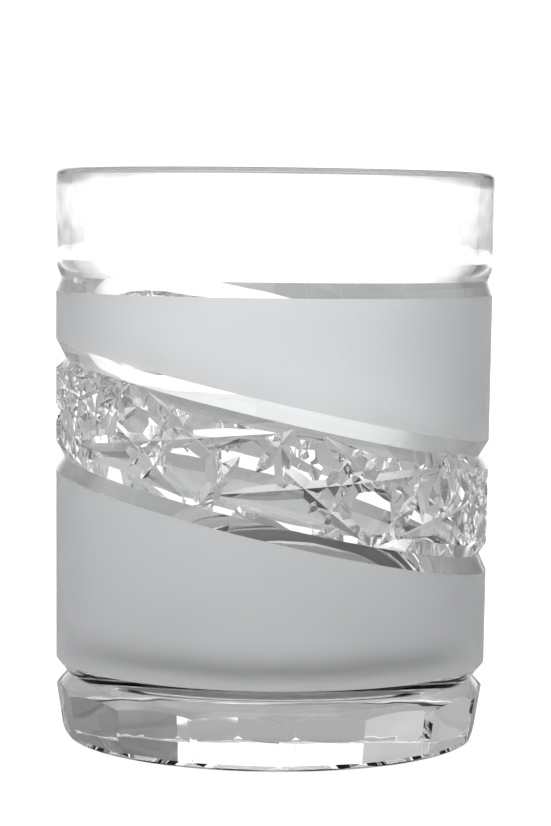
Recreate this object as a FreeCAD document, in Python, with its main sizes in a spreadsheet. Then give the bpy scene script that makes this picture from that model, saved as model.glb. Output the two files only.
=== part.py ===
import FreeCAD, Part
import math
import os
import Sketcher

# Whiskey tumbler: one blown and hand-cut piece of lead crystal, written as its five worked zones.
# Millimetres. +Z up, base on z = 0, glass axis on Z, -Y is the front of the cut band.

doc = FreeCAD.newDocument("whiskey_tumbler")
sheet = doc.addObject("Spreadsheet::Sheet", "sizes")

SIZES = [
    # overall
    ("rim_radius", 41.0), ("height", 106.0), ("wall_taper", 0.0069), ("lip_round", 1.15),
    # drinking well
    ("well_rim_radius", 38.25), ("well_groove_radius", 37.75), ("well_mid_radius", 36.1),
    ("well_mid_height", 52.0), ("well_foot_radius", 34.7), ("well_foot_height", 22.5),
    ("floor_height", 14.5), ("floor_corner", 8.0),
    # polished ring groove under the rim
    ("rim_groove_top", 89.3), ("rim_groove_height", 86.1), ("rim_groove_radius", 39.95),
    ("rim_groove_bottom", 83.4),
    # tilted jewel band
    ("band_tilt", 0.224), ("band_wall_radius", 40.65),
    ("upper_valley_height", 62.15), ("upper_valley_radius", 38.9),
    ("upper_frost_edge", 65.4), ("pattern_top", 60.15),
    ("lower_valley_height", 43.75), ("lower_valley_radius", 39.05),
    ("pattern_bottom", 46.35), ("lower_frost_edge", 40.9),
    # foot groove and base
    ("foot_groove_top", 14.8), ("foot_groove_height", 11.9), ("foot_groove_radius", 37.95),
    ("foot_groove_bottom", 9.2), ("foot_top_radius", 40.3), ("foot_low_radius", 39.15),
    ("foot_low_height", 2.1), ("foot_ring_radius", 37.2), ("foot_round", 2.0),
    ("panel_count", 16), ("panel_turn", -8.75), ("panel_foot_radius", 37.9),
    ("panel_head_radius", 40.13), ("panel_head_height", 13.0), ("punt_radius", 30.0), ("punt_rise", 0.6),
    # mitre cuts
    ("cell_count", 8), ("cell_start", -6.0), ("cell_drift", 3.2),
    ("boss_step_along", 5.85), ("boss_step_up", 3.35), ("boss_lift", 0.3), ("boss_reach", 5.2), ("boss_turn", 16.5),
    ("mitre_depth", 1.3), ("mitre_half_width", 1.5),
]
for row, (name, value) in enumerate(SIZES, start=1):
    sheet.set("A%d" % row, name)
    sheet.set("B%d" % row, str(value))
    sheet.setAlias("B%d" % row, name)
doc.recompute()


def size(name):
    return float(sheet.get(name))


def outer_radius(height):
    return size("rim_radius") - size("wall_taper") * (size("height") - height)


def plane_of(body, role):
    for feature in body.Origin.OriginFeatures:
        if feature.Role == role:
            return feature
    raise RuntimeError("no " + role)


def bind_point(sketch, edge, end, across, up):
    """Hold one sketch vertex at two expressions measured from the sketch origin."""
    for kind, text in (("DistanceX", across), ("DistanceY", up)):
        here = getattr(sketch.getPoint(edge, end), "x" if kind == "DistanceX" else "y")
        if text == "0":
            if kind == "DistanceX":
                sketch.addConstraint(Sketcher.Constraint("PointOnObject", edge, end, -2))
            else:
                sketch.addConstraint(Sketcher.Constraint("PointOnObject", edge, end, -1))
            continue
        index = sketch.addConstraint(Sketcher.Constraint(kind, -1, 1, edge, end, here))
        sketch.setExpression("Constraints[%d]" % index, text)


def value_of(text):
    for name, _ in sorted(SIZES, key=lambda item: -len(item[0])):
        text = text.replace("sizes." + name, repr(size(name)))
    total = FreeCAD.Units.Quantity(text)
    return float(total.Value)


def outline(body, name, corners):
    """Closed straight-edged profile on the body's XZ plane; corners are (radius, height) expressions."""
    sketch = body.newObject("Sketcher::SketchObject", name)
    sketch.AttachmentSupport = (plane_of(body, "XZ_Plane"), [""])
    sketch.MapMode = "FlatFace"
    spots = [FreeCAD.Vector(value_of(across), value_of(up), 0) for across, up in corners]
    count = len(spots)
    for index in range(count):
        sketch.addGeometry(Part.LineSegment(spots[index], spots[(index + 1) % count]), False)
    for index in range(count):
        sketch.addConstraint(Sketcher.Constraint("Coincident", index, 2, (index + 1) % count, 1))
    for index, (across, up) in enumerate(corners):
        bind_point(sketch, index, 1, across, up)
    return sketch


def turned(body, name, sketch):
    """Full revolution of a profile about the glass axis."""
    feature = body.newObject("PartDesign::Revolution", name)
    feature.Profile = sketch
    feature.ReferenceAxis = (sketch, ["V_Axis"])
    feature.Angle = 360
    sketch.Visibility = False
    doc.recompute()
    return feature


WALL = "sizes.rim_radius - sizes.wall_taper * (sizes.height - sizes.%s)"


# ---- drinking rim: clear polished ring above the groove valley
rim = doc.addObject("PartDesign::Body", "drinking_rim")
rim_profile = outline(rim, "rim_profile", [
    ("sizes.well_groove_radius", "sizes.rim_groove_height"),
    ("sizes.rim_groove_radius", "sizes.rim_groove_height"),
    ("sizes.rim_groove_radius + 0.62", "sizes.rim_groove_height + 1.1"),
    (WALL % "rim_groove_top" + " - 0.06", "sizes.rim_groove_top - 1.1"),
    (WALL % "rim_groove_top", "sizes.rim_groove_top"),
    ("sizes.rim_radius", "sizes.height"),
    ("sizes.well_rim_radius", "sizes.height"),
])
rim_ring = turned(rim, "rim_ring", rim_profile)
lip_edges = []
for number, edge in enumerate(rim_ring.Shape.Edges, start=1):
    flat = edge.BoundBox.ZLength < 0.001
    if flat and abs(edge.BoundBox.ZMax - size("height")) < 0.001:
        lip_edges.append("Edge%d" % number)
lip = rim.newObject("PartDesign::Fillet", "rounded_lip")
lip.Base = (rim_ring, lip_edges)
lip.Radius = size("lip_round")
lip.setExpression("Radius", "sizes.lip_round")
doc.recompute()


# ---- wall between the two ring grooves, before the band is cut
wall = doc.addObject("PartDesign::Body", "wall_blank")
wall_profile = outline(wall, "wall_profile", [
    ("sizes.well_foot_radius", "sizes.well_foot_height"),
    ("sizes.foot_groove_radius", "sizes.foot_groove_height"),
    (WALL % "foot_groove_top", "sizes.foot_groove_top"),
    (WALL % "rim_groove_bottom", "sizes.rim_groove_bottom"),
    ("sizes.rim_groove_radius", "sizes.rim_groove_height"),
    ("sizes.well_groove_radius", "sizes.rim_groove_height"),
    ("sizes.well_mid_radius", "sizes.well_mid_height"),
])
turned(wall, "wall_ring", wall_profile)


def tilted_zone(name, corners):
    """Ring of the given (radius, height) section, every height dropped by band_tilt times x."""
    spots = [FreeCAD.Vector(across, 0, up) for across, up in corners]
    face = Part.Face(Part.makePolygon(spots + spots[:1]))
    ring = face.revolve(FreeCAD.Vector(0, 0, 0), FreeCAD.Vector(0, 0, 1), 360)
    drop = FreeCAD.Matrix()
    drop.A31 = -size("band_tilt")
    feature = doc.addObject("Part::Feature", name)
    feature.Shape = ring.transformGeometry(drop)
    return feature


def flank_out(valley_radius, valley_height, edge_height, reach):
    """Point where a V flank, through the wall edge of the groove, stands reach outside the wall."""
    wall_radius = size("band_wall_radius")
    rise = (edge_height - valley_height) / (wall_radius - valley_radius)
    return (wall_radius + reach, edge_height + rise * reach)


CORE = 30.0
CLEAR = 4.0
upper_valley = (size("upper_valley_radius"), size("upper_valley_height"))
lower_valley = (size("lower_valley_radius"), size("lower_valley_height"))
above = tilted_zone("zone_above_band", [
    (CORE, upper_valley[1]), upper_valley,
    flank_out(*upper_valley, size("upper_frost_edge"), CLEAR),
    (size("band_wall_radius") + CLEAR, 120.0), (CORE, 120.0),
])
across = tilted_zone("zone_of_band", [
    (CORE, lower_valley[1]), lower_valley,
    flank_out(*lower_valley, size("pattern_bottom"), CLEAR),
    flank_out(*upper_valley, size("pattern_top"), CLEAR),
    upper_valley, (CORE, upper_valley[1]),
])
below = tilted_zone("zone_below_band", [
    (CORE, -20.0), (size("band_wall_radius") + CLEAR, -20.0),
    flank_out(*lower_valley, size("lower_frost_edge"), CLEAR),
    lower_valley, (CORE, lower_valley[1]),
])


def shared(name, first, second):
    feature = doc.addObject("Part::MultiCommon", name)
    feature.Shapes = [first, second]
    return feature


upper_wall = shared("upper_frosted_wall", wall, above)
band_blank = shared("band_blank", wall, across)
lower_wall = shared("lower_frosted_wall", wall, below)
doc.recompute()


# ---- mitre cuts of the band
def wall_frame(along, up, cell):
    """Point on the wall at band coordinates, with its outward, level and band directions."""
    phase = 2 * math.pi * (cell + 0.5) / size("cell_count")
    drift = math.radians(size("cell_drift")) * math.sin(phase)
    angle = math.radians(size("cell_start")) + phase + drift + along / size("band_wall_radius")
    out = FreeCAD.Vector(math.sin(angle), -math.cos(angle), 0)
    level = FreeCAD.Vector(math.cos(angle), math.sin(angle), 0)
    middle = (size("pattern_top") + size("pattern_bottom")) / 2 + size("boss_lift") + up
    height = middle - size("band_tilt") * size("band_wall_radius") * math.sin(angle)
    slope = math.atan(size("band_tilt") * math.cos(angle))
    centre = out * outer_radius(height) + FreeCAD.Vector(0, 0, height)
    return centre, out, level, slope


def mitre(along, up, turn, half_length, cell):
    """V wedge whose tip line runs under the wall at the mitre depth and rises out at both ends."""
    centre, out, level, slope = wall_frame(along, up, cell)
    heading = math.radians(turn) - slope
    run = level * math.cos(heading) + FreeCAD.Vector(0, 0, math.sin(heading))
    side = out.cross(run)
    depth = size("mitre_depth")
    spread = size("mitre_half_width") / depth
    lift = 1.2
    wall_bend = math.cos(heading) ** 2 / size("band_wall_radius")
    bend = wall_bend - 2 * depth / half_length ** 2
    tip = centre - out * depth
    reach = half_length * 1.12
    high = depth + lift
    section = [tip, tip + out * high + side * (high * spread), tip + out * high - side * (high * spread)]
    face = Part.Face(Part.makePolygon(section + section[:1]))
    if abs(bend) < 0.004:
        face.translate(run * -reach)
        return face.extrude(run * (2 * reach))
    hub = tip - out * (1 / bend)
    swing = math.degrees(reach * bend)
    face.rotate(hub, side, -swing)
    return face.revolve(hub, side, 2 * swing)


cutters = []
step_along = size("boss_step_along")
step_up = size("boss_step_up")
reach = size("boss_reach")
turn = size("boss_turn")
for cell in range(int(size("cell_count"))):
    # level cut between the two bosses, and the near-upright one that crosses it
    cutters.append(mitre(0, 0, turn, 23.0, cell))
    cutters.append(mitre(0, 0, turn + 90, 8.5, cell))
    # pair of long cuts that pass both bosses of the cell
    for sign in (-1, 1):
        normal = math.radians(turn - 45 + 90)
        offset = (sign * reach * math.cos(normal), sign * reach * math.sin(normal))
        cutters.append(mitre(offset[0], offset[1], turn - 45, 12.5, cell))
    for boss in (-1, 1):
        at = (boss * step_along, -boss * step_up)
        # outer near-upright cut of each boss
        offset = (boss * reach * math.cos(math.radians(turn)), boss * reach * math.sin(math.radians(turn)))
        cutters.append(mitre(at[0] + offset[0], at[1] + offset[1], turn + 90, 6.5, cell))
        # the two rising cuts of each boss
        for sign in (-1, 1):
            normal = math.radians(turn + 45 - 90)
            offset = (sign * reach * math.cos(normal), sign * reach * math.sin(normal))
            cutters.append(mitre(at[0] + offset[0], at[1] + offset[1], turn + 45, 7.8, cell))

carved = band_blank.Shape.cut(cutters)
carved_solids = sorted(carved.Solids, key=lambda solid: solid.Volume)
band = doc.addObject("Part::Feature", "jewel_cut_band")
band.Shape = carved_solids[-1]
if band.Shape.Volume > band_blank.Shape.Volume - 300:
    raise RuntimeError("the mitre cuts missed the band")


# ---- faceted base: foot groove lower flank, panels, rounded edge and thick floor
base = doc.addObject("PartDesign::Body", "faceted_base")
CORNER = "sizes.well_foot_radius - sizes.floor_corner * %s"
RISE = "sizes.floor_height + (sizes.well_foot_height - sizes.floor_height) * %s"
base_profile = outline(base, "base_profile", [
    ("0", "sizes.punt_rise"),
    ("sizes.punt_radius", "sizes.punt_rise"),
    ("sizes.punt_radius + 1.5", "0"),
    ("sizes.foot_ring_radius", "0"),
    ("sizes.foot_low_radius - 0.57", "sizes.foot_low_height * 0.3"),
    ("sizes.foot_low_radius", "sizes.foot_low_height"),
    ("sizes.foot_top_radius", "sizes.foot_groove_bottom"),
    ("sizes.foot_groove_radius", "sizes.foot_groove_height"),
    ("sizes.well_foot_radius", "sizes.well_foot_height"),
    (CORNER % "0.1", RISE % "0.58"),
    (CORNER % "0.4", RISE % "0.22"),
    (CORNER % "1.0", "sizes.floor_height"),
    ("0", "sizes.floor_height"),
])
base_ring = turned(base, "base_ring", base_profile)
whole = base_ring.Shape.Volume

# one upright panel is a leaning flat that just reaches the ridges of a regular polygon
panel_profile = outline(base, "panel_profile", [
    ("sizes.panel_foot_radius", "0 - 1"),
    ("sizes.foot_top_radius + 4", "0 - 1"),
    ("sizes.foot_top_radius + 4", "sizes.panel_head_height"),
    ("sizes.panel_head_radius", "sizes.panel_head_height"),
])
panel = base.newObject("PartDesign::Pocket", "panel")
panel.Profile = panel_profile
panel.Type = 0
panel.Midplane = True
panel.Length = 24
panel_profile.Visibility = False
doc.recompute()
if panel.Shape.Volume > whole - 1:
    raise RuntimeError("the panel cut nothing")
ring = base.newObject("PartDesign::PolarPattern", "panels")
ring.Originals = [panel]
ring.Axis = (plane_of(base, "Z_Axis"), [""])
ring.Angle = 360
ring.Occurrences = int(size("panel_count"))
ring.setExpression("Occurrences", "sizes.panel_count")
base.Tip = ring
doc.recompute()
if ring.Shape.Volume > whole - 10 * (whole - panel.Shape.Volume):
    raise RuntimeError("the panels are missing")
base.Placement = FreeCAD.Placement(
    FreeCAD.Vector(0, 0, 0), FreeCAD.Rotation(FreeCAD.Vector(0, 0, 1), size("panel_turn")))
doc.recompute()


# ---- check and write
nodes = [rim, upper_wall, band, lower_wall, base]
for item in doc.Objects:
    if "Invalid" in item.State or "Error" in item.State:
        raise RuntimeError("bad object " + item.Name)
os.makedirs("parts", exist_ok=True)
for item in nodes:
    item.Label = item.Name
    shape = item.Shape
    if shape.isNull() or not shape.isValid():
        raise RuntimeError("bad shape " + item.Name)
    shape.exportStep("parts/%s.step" % item.Label)
    box = shape.BoundBox
    print(item.Label, round(shape.Volume, 1), len(shape.Solids), len(shape.Faces),
          [round(v, 2) for v in (box.XMin, box.XMax, box.YMin, box.YMax, box.ZMin, box.ZMax)])
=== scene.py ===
"""Whiskey tumbler: a cut-crystal double old-fashioned glass, made as its five worked zones."""

import math

import bmesh
import bpy
from mathutils import Matrix, Vector


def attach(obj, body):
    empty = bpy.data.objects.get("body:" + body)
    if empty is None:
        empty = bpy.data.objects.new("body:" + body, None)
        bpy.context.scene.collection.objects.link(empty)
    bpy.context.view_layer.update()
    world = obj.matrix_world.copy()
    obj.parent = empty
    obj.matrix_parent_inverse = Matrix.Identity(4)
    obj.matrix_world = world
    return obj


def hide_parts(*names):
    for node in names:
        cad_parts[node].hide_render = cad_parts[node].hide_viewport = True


bl_info = {
    "name": "Whiskey Tumbler",
    "version": (1, 0, 0),
    "blender": (4, 5, 0),
    "location": "View3D > Sidebar > Tumbler",
    "description": "Builds a cut-crystal whiskey tumbler around its packed solid parts",
    "category": "Object",
}

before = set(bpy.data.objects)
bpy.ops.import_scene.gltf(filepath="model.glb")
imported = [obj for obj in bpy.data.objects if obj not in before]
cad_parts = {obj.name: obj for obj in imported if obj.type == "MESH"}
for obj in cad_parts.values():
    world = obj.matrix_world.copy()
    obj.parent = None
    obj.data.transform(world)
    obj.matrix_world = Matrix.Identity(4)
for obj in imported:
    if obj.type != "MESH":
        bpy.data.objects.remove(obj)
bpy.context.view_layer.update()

MM = 0.001
BODY = "root"
TURN_STEPS = 720          # corners round the glass on every lathe-turned surface
SHARP = math.radians(14)  # edges that bend more than this stay crisp

# the groove under the rim
GROOVE_TOP = 89.3 * MM
GROOVE_HEIGHT = 86.1 * MM
GROOVE_RADIUS = 39.95 * MM
GROOVE_BOTTOM = 83.4 * MM

PUNT_BEVEL = 1.5 * MM     # slanted edge of the hollow underneath
MEAN_SLOPE = 0.7          # share of the band's steepest slope that it has on average
STRAIGHT = 1.0            # a cut that bends less than this, in 1/m, is made straight

# half lengths of the mitre cuts
LONG_CUT = 23.0 * MM      # runs from one pair of bosses to the next
CROSS_CUT = 8.5 * MM      # upright, between the bosses of a pair
SLANT_CUT = 12.5 * MM     # slants past the pair on either side
SIDE_CUT = 6.5 * MM       # upright, beside a boss
RISING_CUT = 7.8 * MM     # slants up past a boss


# ---------------------------------------------------------------- settings
class TumblerShape(bpy.types.PropertyGroup):
    rim_radius: bpy.props.FloatProperty(
        name="Rim radius", description="Outer radius of the glass at the rim",
        default=41.0 * MM, unit="LENGTH")
    height: bpy.props.FloatProperty(
        name="Height", description="Height of the glass", default=106.0 * MM, unit="LENGTH")
    taper: bpy.props.FloatProperty(
        name="Wall taper", description="Radius lost for each metre down the wall", default=0.0069)
    lip: bpy.props.FloatProperty(
        name="Lip rounding", description="Rounding of the fire-polished lip",
        default=1.15 * MM, unit="LENGTH")
    well_rim: bpy.props.FloatProperty(
        name="Well radius at rim", description="Inner radius at the rim",
        default=38.25 * MM, unit="LENGTH")
    well_groove: bpy.props.FloatProperty(
        name="Well radius at rim groove", description="Inner radius level with the rim groove",
        default=37.75 * MM, unit="LENGTH")
    well_foot: bpy.props.FloatProperty(
        name="Well radius at foot", description="Inner radius where the floor corner starts",
        default=34.7 * MM, unit="LENGTH")
    well_foot_height: bpy.props.FloatProperty(
        name="Corner height", description="Height at which the floor corner starts",
        default=22.5 * MM, unit="LENGTH")
    floor_height: bpy.props.FloatProperty(
        name="Floor height", description="Height of the well's floor above the table",
        default=14.5 * MM, unit="LENGTH")
    floor_corner: bpy.props.FloatProperty(
        name="Floor corner", description="Radius of the corner between wall and floor",
        default=8.0 * MM, unit="LENGTH")


class BandShape(bpy.types.PropertyGroup):
    tilt: bpy.props.FloatProperty(
        name="Tilt", description="Drop of the band for each metre to the right", default=0.224)
    upper_frost: bpy.props.FloatProperty(
        name="Upper satin edge", description="Height of the satin edge above the band",
        default=65.4 * MM, unit="LENGTH")
    upper_valley: bpy.props.FloatProperty(
        name="Upper valley", description="Height of the upper groove's valley",
        default=62.15 * MM, unit="LENGTH")
    upper_valley_radius: bpy.props.FloatProperty(
        name="Upper valley radius", description="Radius of the upper groove's valley",
        default=38.9 * MM, unit="LENGTH")
    pattern_top: bpy.props.FloatProperty(
        name="Pattern top", description="Height of the upper edge of the cut pattern",
        default=60.15 * MM, unit="LENGTH")
    pattern_bottom: bpy.props.FloatProperty(
        name="Pattern bottom", description="Height of the lower edge of the cut pattern",
        default=46.35 * MM, unit="LENGTH")
    lower_valley: bpy.props.FloatProperty(
        name="Lower valley", description="Height of the lower groove's valley",
        default=43.75 * MM, unit="LENGTH")
    lower_valley_radius: bpy.props.FloatProperty(
        name="Lower valley radius", description="Radius of the lower groove's valley",
        default=39.05 * MM, unit="LENGTH")
    lower_frost: bpy.props.FloatProperty(
        name="Lower satin edge", description="Height of the satin edge below the band",
        default=40.9 * MM, unit="LENGTH")
    cells: bpy.props.IntProperty(
        name="Repeats", description="How many times the pattern repeats round the glass", default=8)
    start: bpy.props.FloatProperty(
        name="Start", description="Turn of the first repeat from the front",
        default=math.radians(-6.0), unit="ROTATION")
    drift: bpy.props.FloatProperty(
        name="Hand drift", description="How far the hand-set spacing wanders",
        default=math.radians(3.2), unit="ROTATION")
    boss_along: bpy.props.FloatProperty(
        name="Boss step along", description="Half the distance between two bosses along the band",
        default=5.85 * MM, unit="LENGTH")
    boss_up: bpy.props.FloatProperty(
        name="Boss step up", description="Half the distance between two bosses across the band",
        default=3.35 * MM, unit="LENGTH")
    boss_lift: bpy.props.FloatProperty(
        name="Boss lift", description="How far the pattern sits above the middle of the band",
        default=0.3 * MM, unit="LENGTH")
    boss_reach: bpy.props.FloatProperty(
        name="Boss reach", description="Distance from a boss's centre to each cut round it",
        default=5.2 * MM, unit="LENGTH")
    boss_turn: bpy.props.FloatProperty(
        name="Boss turn", description="Turn of the pattern from the band's direction",
        default=math.radians(16.5), unit="ROTATION")
    mitre_depth: bpy.props.FloatProperty(
        name="Mitre depth", description="Depth of each mitre cut", default=1.3 * MM, unit="LENGTH")
    mitre_half_width: bpy.props.FloatProperty(
        name="Mitre half width", description="Half the width of each mitre cut",
        default=1.5 * MM, unit="LENGTH")


class FootShape(bpy.types.PropertyGroup):
    groove_top: bpy.props.FloatProperty(
        name="Groove top", description="Upper edge of the foot groove",
        default=14.8 * MM, unit="LENGTH")
    groove: bpy.props.FloatProperty(
        name="Groove", description="Height of the foot groove's valley",
        default=11.9 * MM, unit="LENGTH")
    groove_radius: bpy.props.FloatProperty(
        name="Groove radius", description="Radius of the foot groove's valley",
        default=37.95 * MM, unit="LENGTH")
    groove_bottom: bpy.props.FloatProperty(
        name="Groove bottom", description="Lower edge of the foot groove",
        default=9.2 * MM, unit="LENGTH")
    top_radius: bpy.props.FloatProperty(
        name="Ridge radius, top", description="Radius of the panel ridges at the top",
        default=40.3 * MM, unit="LENGTH")
    low_radius: bpy.props.FloatProperty(
        name="Ridge radius, low", description="Radius of the panel ridges low down",
        default=39.15 * MM, unit="LENGTH")
    low_height: bpy.props.FloatProperty(
        name="Edge height", description="Height at which the rounded bottom edge starts",
        default=2.1 * MM, unit="LENGTH")
    ring_radius: bpy.props.FloatProperty(
        name="Ring radius", description="Outer radius of the flat ring it stands on",
        default=37.2 * MM, unit="LENGTH")
    punt_radius: bpy.props.FloatProperty(
        name="Hollow radius", description="Radius of the shallow hollow underneath",
        default=30.0 * MM, unit="LENGTH")
    punt_rise: bpy.props.FloatProperty(
        name="Hollow depth", description="Depth of the shallow hollow underneath",
        default=0.6 * MM, unit="LENGTH")
    panels: bpy.props.IntProperty(
        name="Panels", description="Upright panels round the base", default=16)
    panel_turn: bpy.props.FloatProperty(
        name="Panel turn", description="Turn of the first panel from the right-hand side",
        default=math.radians(-8.75), unit="ROTATION")


class CrystalLook(bpy.types.PropertyGroup):
    ior: bpy.props.FloatProperty(
        name="Refractive index", description="Refractive index of the crystal", default=1.545)
    satin: bpy.props.FloatProperty(
        name="Satin roughness", description="Roughness of the etched skin", default=0.55)
    ripple: bpy.props.FloatProperty(
        name="Polish ripple", description="Strength of the polisher's faint ripple", default=0.05)


def shape():
    return bpy.context.scene.tumbler_shape


def band():
    return bpy.context.scene.tumbler_band


def foot():
    return bpy.context.scene.tumbler_foot


def look():
    return bpy.context.scene.tumbler_look


# ---------------------------------------------------------------- node helpers
def socket_in(tree, name, kind):
    tree.interface.new_socket(name=name, in_out="INPUT", socket_type=kind)


def socket_out(tree, name, kind):
    tree.interface.new_socket(name=name, in_out="OUTPUT", socket_type=kind)


class Formula:
    """Small helper that adds arithmetic nodes to a tree."""

    def __init__(self, tree):
        self.tree = tree

    def node(self, kind, **fields):
        made = self.tree.nodes.new(kind)
        for field, value in fields.items():
            setattr(made, field, value)
        return made

    def link(self, source, target):
        if isinstance(source, (int, float)):
            target.default_value = source
        else:
            self.tree.links.new(source, target)

    def math(self, operation, first, second=0.0):
        made = self.node("ShaderNodeMath", operation=operation)
        self.link(first, made.inputs[0])
        self.link(second, made.inputs[1])
        return made.outputs[0]

    def vector(self, across, along, up):
        made = self.node("ShaderNodeCombineXYZ")
        for index, part in enumerate((across, along, up)):
            self.link(part, made.inputs[index])
        return made.outputs[0]


def eased(build, value, low, high):
    """Smooth step from 0 at low to 1 at high."""
    scale = build.node("ShaderNodeMapRange", interpolation_type="SMOOTHSTEP")
    scale.inputs["From Min"].default_value = low
    scale.inputs["From Max"].default_value = high
    build.link(value, scale.inputs["Value"])
    return scale.outputs[0]


# ---------------------------------------------------------------- materials
def new_material(name):
    material = bpy.data.materials.get(name)
    if material:
        return material, None
    material = bpy.data.materials.new(name)
    material.use_nodes = True
    material.node_tree.nodes.clear()
    return material, material.node_tree


def surface_noise(build, scale, detail):
    """The shared noise of the glass surface, placed in a material with its own grain size and detail."""
    tree = bpy.data.node_groups.get("surface_noise")
    if not tree:
        tree = bpy.data.node_groups.new("surface_noise", "ShaderNodeTree")
        socket_in(tree, "Scale", "NodeSocketFloat")
        socket_in(tree, "Detail", "NodeSocketFloat")
        socket_out(tree, "Height", "NodeSocketFloat")
        socket_out(tree, "Mask", "NodeSocketFloat")
        inside = Formula(tree)
        given = inside.node("NodeGroupInput").outputs
        noise = inside.node("ShaderNodeTexNoise")
        inside.link(inside.node("ShaderNodeTexCoord").outputs["Object"], noise.inputs["Vector"])
        inside.link(given["Scale"], noise.inputs["Scale"])
        inside.link(given["Detail"], noise.inputs["Detail"])
        result = inside.node("NodeGroupOutput")
        inside.link(noise.outputs["Fac"], result.inputs["Height"])
        inside.link(eased(inside, noise.outputs["Fac"], 0.3, 0.7), result.inputs["Mask"])
    placed = build.node("ShaderNodeGroup")
    placed.node_tree = tree
    placed.inputs["Scale"].default_value = scale
    placed.inputs["Detail"].default_value = detail
    return placed.outputs


def relief(build, height, glass, strength, depth):
    """Bump on a Principled shader's normal."""
    bump = build.node("ShaderNodeBump")
    bump.inputs["Strength"].default_value = strength
    bump.inputs["Distance"].default_value = depth
    build.link(height, bump.inputs["Height"])
    build.link(bump.outputs["Normal"], glass.inputs["Normal"])


def clear_crystal():
    """Wheel-cut and hand-polished crystal: clear, with the polisher's faint ripple."""
    material, tree = new_material("polished_glass")
    if tree:
        build = Formula(tree)
        out = build.node("ShaderNodeOutputMaterial")
        glass = build.node("ShaderNodeBsdfPrincipled")
        glass.inputs["Base Color"].default_value = (0.995, 1.0, 1.0, 1.0)
        glass.inputs["Roughness"].default_value = 0.0
        glass.inputs["IOR"].default_value = look().ior
        glass.inputs["Transmission Weight"].default_value = 1.0
        waves = surface_noise(build, 160.0, 1.0)
        relief(build, waves["Height"], glass, look().ripple, 0.5 * MM)
        build.link(glass.outputs[0], out.inputs[0])
    return material


def satin_crystal():
    """Acid-etched skin of the frosted walls: fine grain, and clouds where the acid bit a little more."""
    material, tree = new_material("etched_skin")
    if tree:
        build = Formula(tree)
        out = build.node("ShaderNodeOutputMaterial")
        glass = build.node("ShaderNodeBsdfPrincipled")
        glass.inputs["Base Color"].default_value = (0.975, 0.985, 1.0, 1.0)
        glass.inputs["IOR"].default_value = look().ior
        glass.inputs["Transmission Weight"].default_value = 0.85
        clouds = surface_noise(build, 45.0, 3.0)
        spread = 0.06
        rough = build.math("ADD", build.math("MULTIPLY", clouds["Mask"], spread), look().satin - spread / 2)
        build.link(rough, glass.inputs["Roughness"])
        grain = surface_noise(build, 3000.0, 2.0)
        relief(build, grain["Height"], glass, 0.15, 0.02 * MM)
        build.link(glass.outputs[0], out.inputs[0])
    return material


def unseen_joint():
    """Faces where two zones of the one glass meet: nothing shows there."""
    material, tree = new_material("unseen_joint")
    if tree:
        out = tree.nodes.new("ShaderNodeOutputMaterial")
        clear = tree.nodes.new("ShaderNodeBsdfPrincipled")
        clear.inputs["Alpha"].default_value = 0.0
        tree.links.new(clear.outputs[0], out.inputs[0])
    return material


CLEAR = 0
SATIN = 1
JOINT = 2


def finishes():
    return [clear_crystal(), satin_crystal(), unseen_joint()]


# ---------------------------------------------------------------- lathe work
def wall_radius(height):
    return shape().rim_radius - shape().taper * (shape().height - height)


def well_radius(height):
    """Radius of the inner wall: straight from the floor corner to the groove, steeper at the rim."""
    form = shape()
    if height > GROOVE_HEIGHT:
        share = (height - GROOVE_HEIGHT) / (form.height - GROOVE_HEIGHT)
        return form.well_groove + share * (form.well_rim - form.well_groove)
    share = (height - form.well_foot_height) / (GROOVE_HEIGHT - form.well_foot_height)
    return form.well_foot + share * (form.well_groove - form.well_foot)


def angle_point(radius, height, angle):
    return Vector((radius * math.sin(angle), -radius * math.cos(angle), height))


def close_middle(tool, circle):
    """Fan of faces from a circle of corners to the axis, level with the first of them."""
    centre = tool.verts.new((0, 0, circle[0].co.z))
    for near, far in zip(circle, circle[1:] + circle[:1]):
        face = tool.faces.new((near, far, centre))
        face.smooth = True


def section_point(radius, height, tilt, angle):
    """A section's corner at one angle. The radius is a number, or a wall that gives it by height."""
    slope = band().tilt * tilt * math.sin(angle)
    if callable(radius):
        radius = radius(height - slope * radius(height))
    return angle_point(radius, height - slope * radius, angle)


def turned_ring(name, section, closed=True):
    """Lathe-turned ring. section lists (radius, height, tilt share, finish of the face that follows).
    A tilt share of 1 makes the point follow the band's slope."""
    mesh = bpy.data.meshes.new(name)
    tool = bmesh.new()
    rows = []
    for step in range(TURN_STEPS):
        angle = 2 * math.pi * step / TURN_STEPS
        rows.append([tool.verts.new(section_point(radius, height, tilt, angle))
                     for radius, height, tilt, _ in section])
    count = len(section)
    spans = count if closed else count - 1
    for step in range(TURN_STEPS):
        near = rows[step]
        far = rows[(step + 1) % TURN_STEPS]
        for index in range(spans):
            after = (index + 1) % count
            face = tool.faces.new((near[index], far[index], far[after], near[after]))
            face.material_index = section[index][3]
            face.smooth = True
    if not closed:
        close_middle(tool, [row[0] for row in rows])
        close_middle(tool, [row[-1] for row in rows][::-1])
    bmesh.ops.recalc_face_normals(tool, faces=tool.faces)
    tool.to_mesh(mesh)
    tool.free()
    for finish in finishes():
        mesh.materials.append(finish)
    piece = bpy.data.objects.new(name, mesh)
    bpy.context.scene.collection.objects.link(piece)
    return piece


def crisp(mesh):
    """Smooth shading with the cutter's edges kept sharp."""
    mesh.shade_smooth()
    mesh.set_sharp_from_angle(angle=SHARP)


def seat(piece, node):
    """Hand a finished piece to the frame in place of its solid."""
    if not piece.data.polygons:
        raise RuntimeError("No faces left on " + piece.name)
    crisp(piece.data)
    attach(piece, BODY)
    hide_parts(node)
    return piece


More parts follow.
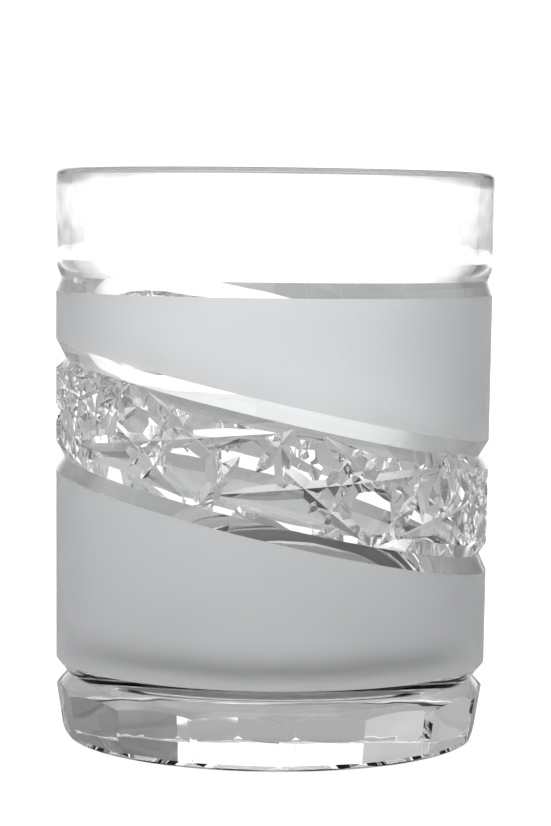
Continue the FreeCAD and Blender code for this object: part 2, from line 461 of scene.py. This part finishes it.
def arc(centre, radius, start, end, steps):
    """(radius, height) points of an arc; angles in degrees from +radius towards +height."""
    points = []
    for step in range(steps + 1):
        angle = math.radians(start + (end - start) * step / steps)
        points.append((centre[0] + radius * math.cos(angle), centre[1] + radius * math.sin(angle)))
    return points


def plain(points, finish=CLEAR, tilt=0.0):
    return [(across, up, tilt, finish) for across, up in points]


def refinish(section, finish):
    """Change the finish of the face that follows a section's last corner."""
    section[-1] = section[-1][:3] + (finish,)


def blend_down(top, bottom, steps, surface, finish):
    """Points down a wall between a top (height, tilt) and a bottom (height, tilt)."""
    points = []
    for step in range(steps + 1):
        share = step / steps
        height = top[0] + (bottom[0] - top[0]) * share
        points.append((surface, height, top[1] + (bottom[1] - top[1]) * share, finish))
    return points


# ---------------------------------------------------------------- pieces
class TUMBLER_OT_rim(bpy.types.Operator):
    """Clear drinking rim with its rounded lip"""

    bl_idname = "tumbler.rim"
    bl_label = "Drinking rim"

    def execute(self, context):
        form = shape()
        flank = []
        for step in range(9):
            share = step / 8
            curve = math.sin(share * math.pi / 2)
            flank.append((
                GROOVE_RADIUS + (wall_radius(GROOVE_TOP) - GROOVE_RADIUS) * curve,
                GROOVE_HEIGHT + (GROOVE_TOP - GROOVE_HEIGHT) * share))
        outer = plain(flank)
        outer += blend_down((GROOVE_TOP + 3 * MM, 0), (form.height - form.lip - 2 * MM, 0), 4,
                            wall_radius, CLEAR)
        outer += plain(arc((form.rim_radius - form.lip, form.height - form.lip), form.lip, 0, 90, 10))
        inner = plain(arc((form.well_rim + form.lip, form.height - form.lip), form.lip, 90, 180, 10))
        inner += blend_down((form.height - form.lip - 2 * MM, 0), (GROOVE_HEIGHT, 0), 5,
                            well_radius, CLEAR)
        section = outer + inner
        refinish(section, JOINT)
        seat(turned_ring("drinking_rim_glass", section), "drinking_rim")
        return {"FINISHED"}


class TUMBLER_OT_upper_wall(bpy.types.Operator):
    """Satin wall between the rim groove and the cut band"""

    bl_idname = "tumbler.upper_wall"
    bl_label = "Upper satin wall"

    def execute(self, context):
        ring = band()
        section = plain([(GROOVE_RADIUS, GROOVE_HEIGHT)])
        section += blend_down((GROOVE_BOTTOM, 0), (ring.upper_frost, 1), 6, wall_radius, SATIN)
        refinish(section, CLEAR)
        section.append((ring.upper_valley_radius, ring.upper_valley, 1, JOINT))
        section += blend_down((ring.upper_valley, 1), (GROOVE_HEIGHT, 0), 6, well_radius, CLEAR)
        refinish(section, JOINT)
        seat(turned_ring("upper_wall_glass", section), "upper_frosted_wall")
        return {"FINISHED"}


class TUMBLER_OT_lower_wall(bpy.types.Operator):
    """Satin wall between the cut band and the foot groove"""

    bl_idname = "tumbler.lower_wall"
    bl_label = "Lower satin wall"

    def execute(self, context):
        ring = band()
        base = foot()
        section = [(ring.lower_valley_radius, ring.lower_valley, 1, CLEAR)]
        section += blend_down((ring.lower_frost, 1), (base.groove_top, 0), 6, wall_radius, SATIN)
        refinish(section, CLEAR)
        section.append((base.groove_radius, base.groove, 0, JOINT))
        section += blend_down((shape().well_foot_height, 0), (ring.lower_valley, 1), 6,
                              well_radius, CLEAR)
        refinish(section, JOINT)
        seat(turned_ring("lower_wall_glass", section), "lower_frosted_wall")
        return {"FINISHED"}


def wedge(name, half_length, depth, half_width, wall_bend):
    """Cutting wedge along X that opens towards -Y. It bends with the wall (wall_bend is one over the radius),
    at full depth in its middle share, and rises out of the glass at its ends."""
    lift = 1.3 * MM           # how far it stands out of the wall
    overrun = 1.06            # it rises clear of the wall just past its ends
    level_share = 0.45
    steps = 36
    slope = half_width / depth
    mesh = bpy.data.meshes.new(name)
    tool = bmesh.new()
    rows = []
    for step in range(steps + 1):
        run = overrun * (2 * step / steps - 1)
        rise = max(0.0, (abs(run) - level_share) / (1 - level_share))
        here = depth * (1 - rise ** 2)
        out = Vector((0, -1, 0))
        wall_point = Vector((run * half_length, 0, 0))
        if wall_bend > STRAIGHT:
            swing = run * half_length * wall_bend
            out = Vector((math.sin(swing), -math.cos(swing), 0))
            wall_point = Vector((0, 1 / wall_bend, 0)) + out / wall_bend
        side = Vector((0, 0, (here + lift) * slope))
        top = wall_point + out * lift
        rows.append([tool.verts.new(wall_point - out * here), tool.verts.new(top + side),
                     tool.verts.new(top - side)])
    for near, far in zip(rows, rows[1:]):
        for index in range(3):
            after = (index + 1) % 3
            tool.faces.new((near[index], far[index], far[after], near[after]))
    tool.faces.new(rows[0])
    tool.faces.new(rows[-1][::-1])
    bmesh.ops.recalc_face_normals(tool, faces=tool.faces)
    tool.to_mesh(mesh)
    tool.free()
    return mesh


def copies_on(build, points, cutter, turn, finish):
    """End of a tree: one turned copy of the cutter on each point, as plain geometry in its finish."""
    copies = build.node("GeometryNodeInstanceOnPoints")
    build.link(points, copies.inputs["Points"])
    build.link(cutter, copies.inputs["Instance"])
    build.link(turn, copies.inputs["Rotation"])
    solid = build.node("GeometryNodeRealizeInstances")
    build.link(copies.outputs[0], solid.inputs[0])
    paint = build.node("GeometryNodeSetMaterial")
    build.link(solid.outputs[0], paint.inputs["Geometry"])
    build.link(finish, paint.inputs["Material"])
    result = build.node("NodeGroupOutput")
    build.link(paint.outputs[0], result.inputs[0])


def mitre_tree():
    """Geometry Nodes tree that walks one cutting wedge round the tilted band."""
    tree = bpy.data.node_groups.new("mitre_ring", "GeometryNodeTree")
    socket_out(tree, "Geometry", "NodeSocketGeometry")
    socket_in(tree, "Wedge", "NodeSocketGeometry")
    socket_in(tree, "Repeats", "NodeSocketInt")
    for name in ("Start", "Drift", "Along", "Up", "Turn", "Tilt", "Middle", "Wall radius", "Taper",
                 "Rim radius", "Height"):
        socket_in(tree, name, "NodeSocketFloat")
    socket_in(tree, "Finish", "NodeSocketMaterial")
    build = Formula(tree)
    given = build.node("NodeGroupInput").outputs
    count = build.node("GeometryNodePoints")
    build.link(given["Repeats"], count.inputs["Count"])
    index = build.node("GeometryNodeInputIndex").outputs[0]
    number = build.math("ADD", index, 0.5)
    phase = build.math("DIVIDE", build.math("MULTIPLY", number, 2 * math.pi), given["Repeats"])
    drift = build.math("MULTIPLY", build.math("SINE", phase), given["Drift"])
    lead = build.math("DIVIDE", given["Along"], given["Wall radius"])
    angle = build.math("ADD", build.math("ADD", phase, drift), build.math("ADD", given["Start"], lead))
    sine = build.math("SINE", angle)
    cosine = build.math("COSINE", angle)
    middle = build.math("ADD", given["Middle"], given["Up"])
    drop = build.math("MULTIPLY", build.math("MULTIPLY", given["Tilt"], given["Wall radius"]), sine)
    height = build.math("SUBTRACT", middle, drop)
    below = build.math("SUBTRACT", given["Height"], height)
    radius = build.math("SUBTRACT", given["Rim radius"], build.math("MULTIPLY", given["Taper"], below))
    spot = build.vector(
        build.math("MULTIPLY", radius, sine),
        build.math("MULTIPLY", build.math("MULTIPLY", radius, cosine), -1.0), height)
    slope = build.math("ARCTANGENT", build.math("MULTIPLY", given["Tilt"], cosine))
    heading = build.math("SUBTRACT", slope, given["Turn"])
    turn = build.vector(0.0, heading, angle)
    placed = build.node("GeometryNodeSetPosition")
    build.link(count.outputs[0], placed.inputs["Geometry"])
    build.link(spot, placed.inputs["Position"])
    copies_on(build, placed.outputs[0], given["Wedge"], turn, given["Finish"])
    return tree


def grown(name, mesh, tree, values):
    """Run a Geometry Nodes tree on a mesh and keep the plain result."""
    seed = bpy.data.objects.new(name, mesh)
    bpy.context.scene.collection.objects.link(seed)
    modifier = seed.modifiers.new("grow", "NODES")
    modifier.node_group = tree
    for item in tree.interface.items_tree:
        if item.item_type == "SOCKET" and item.in_out == "INPUT" and item.name in values:
            modifier[item.identifier] = values[item.name]
    bpy.context.view_layer.update()
    shown = seed.evaluated_get(bpy.context.evaluated_depsgraph_get())
    result = bpy.data.meshes.new_from_object(shown)
    bpy.data.objects.remove(seed)
    return result


def carve(piece, tools):
    """Cut every tool mesh from a piece, leaving a plain mesh."""
    made = []
    for number, mesh in enumerate(tools):
        cutter = bpy.data.objects.new("cutter_%d" % number, mesh)
        bpy.context.scene.collection.objects.link(cutter)
        made.append(cutter)
        cut = piece.modifiers.new("cut_%d" % number, "BOOLEAN")
        cut.operation = "DIFFERENCE"
        cut.object = cutter
        cut.solver = "MANIFOLD"
        cut.material_mode = "TRANSFER"
    bpy.context.view_layer.update()
    shown = piece.evaluated_get(bpy.context.evaluated_depsgraph_get())
    result = bpy.data.meshes.new_from_object(shown)
    piece.modifiers.clear()
    piece.data = result
    for cutter in made:
        bpy.data.objects.remove(cutter)
    return piece


def mitre_plan():
    """(along, up, turn, half length) of every cut in one repeat of the pattern."""
    ring = band()
    turn = ring.boss_turn
    reach = ring.boss_reach
    quarter = math.pi / 2
    eighth = math.pi / 4
    plan = [(0, 0, turn, LONG_CUT), (0, 0, turn + quarter, CROSS_CUT)]
    for sign in (-1, 1):
        aim = turn + eighth
        plan.append((sign * reach * math.cos(aim), sign * reach * math.sin(aim),
                     turn - eighth, SLANT_CUT))
    for boss in (-1, 1):
        along = boss * ring.boss_along
        up = -boss * ring.boss_up
        plan.append((along + boss * reach * math.cos(turn), up + boss * reach * math.sin(turn),
                     turn + quarter, SIDE_CUT))
        for sign in (-1, 1):
            aim = turn - eighth
            plan.append((along + sign * reach * math.cos(aim), up + sign * reach * math.sin(aim),
                         turn + eighth, RISING_CUT))
    return plan


class TUMBLER_OT_band(bpy.types.Operator):
    """Tilted jewel-cut band: polished grooves, octagonal bosses and mitre cuts"""

    bl_idname = "tumbler.band"
    bl_label = "Jewel-cut band"

    def execute(self, context):
        ring = band()
        section = [(ring.upper_valley_radius, ring.upper_valley, 1, CLEAR)]
        section += blend_down((ring.pattern_top, 1), (ring.pattern_bottom, 1), 6, wall_radius, CLEAR)
        section.append((ring.lower_valley_radius, ring.lower_valley, 1, JOINT))
        section += blend_down((ring.lower_valley, 1), (ring.upper_valley, 1), 4, well_radius, CLEAR)
        refinish(section, JOINT)
        piece = turned_ring("jewel_band_glass", section)
        tools = []
        tree = mitre_tree()
        middle = (ring.pattern_top + ring.pattern_bottom) / 2
        middle_radius = wall_radius(middle)
        for number, (along, up, turn, half_length) in enumerate(mitre_plan()):
            heading = turn - math.atan(ring.tilt) * MEAN_SLOPE
            wall_bend = math.cos(heading) ** 2 / middle_radius
            cutter = wedge("wedge_%d" % number, half_length, ring.mitre_depth,
                           ring.mitre_half_width, wall_bend)
            tools.append(grown("mitre_%d" % number, cutter, tree, {
                "Repeats": ring.cells, "Start": ring.start, "Drift": ring.drift,
                "Along": along, "Up": up + ring.boss_lift, "Turn": turn, "Tilt": ring.tilt,
                "Middle": middle, "Wall radius": middle_radius, "Taper": shape().taper,
                "Rim radius": shape().rim_radius, "Height": shape().height,
                "Finish": clear_crystal()}))
        carve(piece, tools)
        seat(piece, "jewel_cut_band")
        return {"FINISHED"}


def panel_tree():
    """Geometry Nodes tree that turns one panel cutter round the base."""
    tree = bpy.data.node_groups.new("panel_ring", "GeometryNodeTree")
    socket_out(tree, "Geometry", "NodeSocketGeometry")
    socket_in(tree, "Cutter", "NodeSocketGeometry")
    socket_in(tree, "Panels", "NodeSocketInt")
    socket_in(tree, "Turn", "NodeSocketFloat")
    socket_in(tree, "Finish", "NodeSocketMaterial")
    build = Formula(tree)
    given = build.node("NodeGroupInput").outputs
    count = build.node("GeometryNodePoints")
    build.link(given["Panels"], count.inputs["Count"])
    index = build.node("GeometryNodeInputIndex").outputs[0]
    phase = build.math("DIVIDE", build.math("MULTIPLY", index, 2 * math.pi), given["Panels"])
    turn = build.vector(0.0, 0.0, build.math("ADD", phase, given["Turn"]))
    copies_on(build, count.outputs[0], given["Cutter"], turn, given["Finish"])
    return tree


def slab(name, section, half_width):
    """Prism of an (x, z) section, half_width each way along Y."""
    mesh = bpy.data.meshes.new(name)
    tool = bmesh.new()
    near = [tool.verts.new((across, -half_width, up)) for across, up in section]
    far = [tool.verts.new((across, half_width, up)) for across, up in section]
    count = len(section)
    for index in range(count):
        after = (index + 1) % count
        tool.faces.new((near[index], near[after], far[after], far[index]))
    tool.faces.new(near[::-1])
    tool.faces.new(far)
    bmesh.ops.recalc_face_normals(tool, faces=tool.faces)
    tool.to_mesh(mesh)
    tool.free()
    return mesh


def bottom_edge():
    """(radius, height) points of the rounded bottom edge, from the standing ring up to the panels."""
    base = foot()
    edge_round = base.low_radius - base.ring_radius
    points = []
    for step in range(11):
        swing = math.pi / 2 * step / 10
        points.append((base.ring_radius + edge_round * math.sin(swing),
                       base.low_height * (1 - math.cos(swing))))
    return points


def panel_cutter():
    """Block whose inner side is one leaning flat panel; the panel's edges lie on the turned ridge line."""
    base = foot()
    share = math.cos(math.pi / base.panels)
    lean = (base.top_radius - base.low_radius) / (base.groove_bottom - base.low_height) * share

    def flat(height):
        return base.low_radius * share + lean * (height - base.low_height)

    far = base.top_radius + 4 * MM
    low = -1 * MM
    high = base.groove + 1 * MM
    return slab("panel_cutter", [(flat(low), low), (far, low), (far, high), (flat(high), high)], 12 * MM)


class TUMBLER_OT_base(bpy.types.Operator):
    """Thick clear base with its upright panels and the well's floor"""

    bl_idname = "tumbler.base"
    bl_label = "Panelled base"

    def execute(self, context):
        form = shape()
        base = foot()
        section = plain([(base.punt_radius * 0.5, base.punt_rise), (base.punt_radius, base.punt_rise),
                         (base.punt_radius + PUNT_BEVEL, 0)])
        section += plain(bottom_edge())
        section += plain([(base.top_radius, base.groove_bottom), (base.groove_radius, base.groove)])
        refinish(section, JOINT)
        flat_radius = form.well_foot - form.floor_corner
        section += plain(arc((flat_radius, form.well_foot_height), form.floor_corner, 0, -90, 18))
        section += plain([(flat_radius * 0.5, form.floor_height)])
        piece = turned_ring("base_glass", section, closed=False)
        tool = grown("panel_cutters", panel_cutter(), panel_tree(), {
            "Panels": base.panels, "Turn": base.panel_turn, "Finish": clear_crystal()})
        carve(piece, [tool])
        seat(piece, "faceted_base")
        return {"FINISHED"}


# ---------------------------------------------------------------- stage
FLOOR_RADIUS = 6.0
AMBIENT = 0.2       # light that reaches the glass from every side
SEEN_WHITE = 1.1    # the backdrop as it is seen straight on

# strength, left, right, low and high edge in degrees; 0 is straight behind the glass, 180 in front of it
LIGHTS = (
    (1.0, -21, 20, -40, 20),
    (0.3, -55, -21, -40, 35),
    (1.5, -190, -68, -40, 50),
    (1.5, 112, 190, -40, 20),
    (0.6, 60, 112, 9, 60),
    (1.0, -75, 190, 42, 62),
    (1.6, -190, 190, 62, 120),
)


def glowing_floor_material():
    """Floor of white paper that glows though it is no lamp, as painted light. It is plain white where it is
    seen straight on. In the glass its painted glow fades to painted shade close by and brightens far away.
    """
    material, tree = new_material("painted_glow_paper")
    if tree:
        build = Formula(tree)
        out = build.node("ShaderNodeOutputMaterial")
        card = build.node("ShaderNodeBsdfPrincipled")
        card.inputs["Roughness"].default_value = 0.9
        card.inputs["Specular IOR Level"].default_value = 0.0
        card.inputs["Emission Color"].default_value = (1.0, 1.0, 1.0, 1.0)
        away = build.node("ShaderNodeVectorMath", operation="LENGTH")
        build.link(build.node("ShaderNodeTexCoord").outputs["Object"], away.inputs[0])
        # painted shade: the glow seen in the glass fades out close to the glass and rises to full from 0.8 m
        # out to 3 m
        far = eased(build, away.outputs["Value"], 0.8, 3.0)
        seen = build.node("ShaderNodeLightPath").outputs["Is Camera Ray"]
        unseen = build.math("SUBTRACT", 1.0, seen)
        painted_glow_in_glass = build.math("MULTIPLY", unseen, build.math("MULTIPLY", far, 0.9))
        # painted light: the floor glows, 0.8 where the camera sees it, the painted glow above where it is
        # seen in the glass
        glow = build.math("ADD", painted_glow_in_glass, build.math("MULTIPLY", seen, 0.8))
        build.link(glow, card.inputs["Emission Strength"])
        # grey of the paper, painted a touch lighter where the camera sees it straight on
        shade = build.math("ADD", 0.36, build.math("MULTIPLY", seen, 0.04))
        build.link(build.vector(shade, shade, shade), card.inputs["Base Color"])
        build.link(card.outputs[0], out.inputs[0])
    return material


def soft_studio():
    """World of softly edged light patches round the glass, plain white where it is seen straight on."""
    world = bpy.data.worlds.new("soft_studio")
    world.use_nodes = True
    build = Formula(world.node_tree)
    split = build.node("ShaderNodeSeparateXYZ")
    build.link(build.node("ShaderNodeTexCoord").outputs["Generated"], split.inputs[0])
    across = build.math("ARCTAN2", split.outputs["X"], split.outputs["Y"])
    rise = build.math("ARCSINE", split.outputs["Z"])
    soft = 9

    def window(value, low, high):
        """1 between two angles in degrees, with soft edges."""
        enter = eased(build, value, math.radians(low - soft), math.radians(low + soft))
        leave = eased(build, value, math.radians(high + soft), math.radians(high - soft))
        return build.math("MULTIPLY", enter, leave)

    level = AMBIENT
    for strength, left, right, low, high in LIGHTS:
        patch = build.math("MULTIPLY", window(across, left, right), window(rise, low, high))
        level = build.math("ADD", level, build.math("MULTIPLY", patch, strength))
    seen = build.node("ShaderNodeLightPath").outputs["Is Camera Ray"]
    level = build.math("MAXIMUM", level, build.math("MULTIPLY", seen, SEEN_WHITE))
    background = world.node_tree.nodes["Background"]
    build.link(level, background.inputs["Color"])
    background.inputs["Strength"].default_value = 1.0
    return world


def front_camera():
    """Long lens a little above the middle of the band, tipped down at the glass."""
    tilt = 0.0720992
    roll = 0.0120287
    pan = 0.0010216
    lens = bpy.data.cameras.new("front_camera")
    lens.sensor_width = 36.0
    lens.lens = 115.58
    lens.clip_start = 0.01
    camera = bpy.data.objects.new("front_camera", lens)
    bpy.context.scene.collection.objects.link(camera)
    ahead = Vector((math.sin(pan) * math.cos(tilt), math.cos(pan) * math.cos(tilt), -math.sin(tilt)))
    level = Vector((math.cos(pan), -math.sin(pan), 0))
    upright = level.cross(ahead)
    right = level * math.cos(roll) + upright * math.sin(roll)
    above = -level * math.sin(roll) + upright * math.cos(roll)
    turn = Matrix((right, above, -ahead)).transposed().to_4x4()
    camera.matrix_world = Matrix.Translation((0, -0.49844, 0.09666)) @ turn
    return camera


class TUMBLER_OT_stage(bpy.types.Operator):
    """Pale floor that glows with painted light, soft light and the camera"""

    bl_idname = "tumbler.stage"
    bl_label = "Stage"

    def execute(self, context):
        scene = context.scene
        mesh = bpy.data.meshes.new("studio_floor")
        tool = bmesh.new()
        bmesh.ops.create_circle(tool, cap_ends=True, segments=64, radius=FLOOR_RADIUS)
        tool.to_mesh(mesh)
        tool.free()
        floor = bpy.data.objects.new("studio_floor", mesh)
        scene.collection.objects.link(floor)
        mesh.materials.append(glowing_floor_material())

        scene.world = soft_studio()
        scene.camera = front_camera()
        scene.view_settings.view_transform = "Standard"
        scene.cycles.max_bounces = 48
        scene.cycles.transmission_bounces = 40
        scene.cycles.glossy_bounces = 24
        scene.cycles.transparent_max_bounces = 96
        scene.cycles.diffuse_bounces = 4
        return {"FINISHED"}


class TUMBLER_PT_panel(bpy.types.Panel):
    """Lists the pieces of the tumbler"""

    bl_idname = "TUMBLER_PT_panel"
    bl_label = "Whiskey tumbler"
    bl_space_type = "VIEW_3D"
    bl_region_type = "UI"
    bl_category = "Tumbler"

    def draw(self, context):
        for group in (shape(), band(), foot(), look()):
            box = self.layout.box()
            for name in group.bl_rna.properties.keys():
                if name not in ("rna_type", "name"):
                    box.prop(group, name)
        for step in STEPS:
            self.layout.operator(step.bl_idname)


GROUPS = {
    "tumbler_shape": TumblerShape,
    "tumbler_band": BandShape,
    "tumbler_foot": FootShape,
    "tumbler_look": CrystalLook,
}
STEPS = (TUMBLER_OT_rim, TUMBLER_OT_upper_wall, TUMBLER_OT_band, TUMBLER_OT_lower_wall,
         TUMBLER_OT_base, TUMBLER_OT_stage)


def register():
    for kind in (*GROUPS.values(), *STEPS, TUMBLER_PT_panel):
        bpy.utils.register_class(kind)
    for name, kind in GROUPS.items():
        setattr(bpy.types.Scene, name, bpy.props.PointerProperty(type=kind))


def unregister():
    for name in GROUPS:
        delattr(bpy.types.Scene, name)
    for kind in (TUMBLER_PT_panel, *reversed(STEPS), *reversed(tuple(GROUPS.values()))):
        bpy.utils.unregister_class(kind)


def main():
    register()
    bpy.ops.tumbler.rim()
    bpy.ops.tumbler.upper_wall()
    bpy.ops.tumbler.band()
    bpy.ops.tumbler.lower_wall()
    bpy.ops.tumbler.base()
    bpy.ops.tumbler.stage()


if __name__ == "__main__":
    main()
